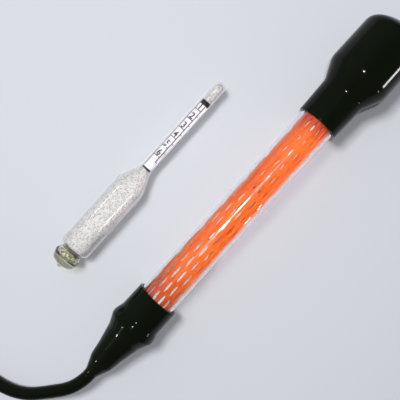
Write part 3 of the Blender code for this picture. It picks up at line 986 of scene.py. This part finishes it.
def makeFloat(name, node, body, place, size):
    shape = floatShape
    gap = shape["gap"]
    glass = floatOutline(size)
    inside = inset(glass, shape["wall"] * size + gap)
    cavity = inset(cavityOutline(size), gap)
    sealTop = (shape["seal"] + shape["sealThickness"]) * size
    scaleFoot = shape["stemFoot"] * size - gap * size
    scaleTop = (shape["length"] - shape["tipGap"]) * size
    ringTop, bandFoot = scaleFoot + shape["ring"] * size, scaleTop - shape["band"] * size
    outer = (shape["stem"] - shape["wall"]) * size - shape["paperGap"]
    inner = outer - shape["paper"] * size

    def add(label, outline, slot, material, closed=False, rough=0.0):
        piece = turn(name + label, outline, place, shape["sides"], closed)
        if rough:
            ruffle(piece, rough, shape["grainSize"], size)
        finish(piece, body, slot, material, node + floatNodes[label])

    add("Glass", shell(glass, shape["wall"] * size, shape["lip"] * size), "float_glass", floatGlass)
    add("Cup", cupOutline(size), "cup_glass", cupGlass)
    shot = [Vector((0, cavity[0].y)), *cavity]
    add("Ballast", shot, "ballast_metal", ballastMetal, rough=shape["fillingRise"])
    wax = between(inside, sealTop, shape["seal"] * size)
    add("Seal", [Vector((0, wax[0].y)), *wax, Vector((0, wax[-1].y))], "sealing_wax", sealingWax)
    grains = resampled(between(inside, scaleFoot - gap, sealTop + gap), shape["grainRow"])
    lining = [*grains, *reversed(inset(grains, shape["lining"] * size))]
    add("Lining", lining, "granules", paleGranules, closed=True, rough=shape["grainRise"])
    paper = closedRing(outer, inner, bandFoot - gap, ringTop + gap)
    add("Ring", closedRing(outer, inner, ringTop, scaleFoot), "black_print", blackPrint, closed=True)
    add("Paper", paper, "scale_paper", scalePaper, closed=True)
    add("Band", closedRing(outer, inner, scaleTop, bandFoot), "black_print", blackPrint, closed=True)
    core = inset(inside, shape["tipRim"] * size)
    tip = between(core, core[0].y, scaleTop + gap)
    tip = resampled([*tip, Vector((0, tip[-1].y))], shape["grainRow"])
    add("Tip", tip, "granules", paleGranules, rough=shape["fillingRise"])
    makePrint(name + "Print", size, outer, place, body)
    print(name, "made")


makeFloat("workingFloat", "float", "float", floatPlace, 1)
makeFloat("spareFloat", "spare_float", "spare_float", spareFloatPlace, floatShape["spareSize"])


# Floor, world and lamps

stage = {
    "floor": (0.64, 0.66, 0.7, 1),
    "floorSize": 4,
    "dark": (0.12, 0.12, 0.13, 1),
    "bright": (0.34, 0.35, 0.38, 1),
    "brightSide": (0, 0.96, 0.28),
}
bpy.ops.object.select_all(action="DESELECT")
bpy.ops.mesh.primitive_plane_add(size=stage["floorSize"])
floor = bpy.context.object
floor.name = "floor"
floorPaint, floorTree, floorShader = newMaterial("floorPaint")
setSockets(floorShader, {"Base Color": stage["floor"], "Roughness": 0.9, "Specular IOR Level": 0.1})
floor.data.materials.append(floorPaint)

world = bpy.data.worlds.new("softRoom")
bpy.context.scene.world = world
world.use_nodes = True
worldTree = world.node_tree
worldCoords = worldTree.nodes.new("ShaderNodeTexCoord")
worldSide = worldTree.nodes.new("ShaderNodeVectorMath")
worldSide.operation = "DOT_PRODUCT"
worldSide.inputs[1].default_value = stage["brightSide"]
worldTree.links.new(worldCoords.outputs["Generated"], worldSide.inputs[0])
worldRamp = worldTree.nodes.new("ShaderNodeValToRGB")
worldRamp.color_ramp.interpolation = "EASE"
worldRamp.color_ramp.elements[0].color = stage["dark"]
worldRamp.color_ramp.elements[1].color = stage["bright"]
worldTree.links.new(worldSide.outputs["Value"], worldRamp.inputs["Fac"])
worldTree.links.new(worldRamp.outputs["Color"], worldTree.nodes["Background"].inputs["Color"])

# the panel lights the scene and casts the shadows, and the small lamps make the highlights
# places and sizes are in mm, from the floor under the barrel's lower end
lamps = {
    "panel": {"at": (100, 580, 1400), "size": (360, 360), "power": 15.4},
    "upperSpot": {"at": (141, 37, 700), "size": (30, 26), "power": 0.62},
    "lowerSpot": {"at": (97, 37, 700), "size": (30, 26), "power": 0.62},
    "sideStrip": {"at": (390, -480, 60), "size": (140, 70), "power": 1.3, "on": "dressing"},
    "sideSpot": {"at": (124, -480, 60), "size": (13, 45), "power": 0.055, "on": "dressing"},
    "sideDot": {"at": (149, -480, 60), "size": (8, 45), "power": 0.03, "on": "dressing"},
    "neckSpot": {"at": (119, 37, 700), "size": (24, 26), "power": 0.9, "on": "bulb"},
    "noseHigh": {"at": (-386, 234, 260), "size": (22, 22), "power": 0.6, "on": "boot"},
    "noseLow": {"at": (-412, 222, 227), "size": (22, 22), "power": 0.6, "on": "boot"},
    "farFloatLamp": {"at": (-5, 525, 310), "size": (82, 110), "power": 0.13, "on": "floats"},
    "nearFloatLamp": {"at": (-3, -335, 310), "size": (96, 110), "power": 0.15, "on": "floats"},
}
# the pieces that a lamp shines on, for lamps that only make highlights
litPieces = {
    "dressing": [piece for piece in bpy.data.objects if piece.type == "MESH" and piece != floor],
    "bulb": [bpy.data.objects["squeezeBulb"]],
    "boot": [bpy.data.objects["rubberBoot"]],
    "floats": [bpy.data.objects["spareFloat" + label] for label in ("Glass", "Cup", "Ballast")],
}
receivers = {}
for name, pieces in litPieces.items():
    receivers[name] = bpy.data.collections.new(name)
    for piece in pieces:
        receivers[name].objects.link(piece)
lampStart = Vector((testerPlace.translation.x, testerPlace.translation.y, 0))
lampAim = Vector((testerPlace.translation.x + camera["station"], 0, 0))
for name, lamp in lamps.items():
    spot = lampStart + Vector(lamp["at"]) * mm
    bpy.ops.object.light_add(type="AREA", location=spot)
    light = bpy.context.object
    light.name = name
    light.rotation_euler = (lampAim - spot).to_track_quat("-Z", "Y").to_euler()
    light.data.shape = "RECTANGLE"
    light.data.size, light.data.size_y = (length * mm for length in lamp["size"])
    light.data.energy = lamp["power"]
    light.visible_transmission = False      # its light already comes through the glass as shadow rays
    light.visible_glossy = name != "panel"
    if "on" in lamp:
        light.light_linking.receiver_collection = receivers[lamp["on"]]
bpy.context.scene.view_settings.view_transform = "Standard"
print("stage set")
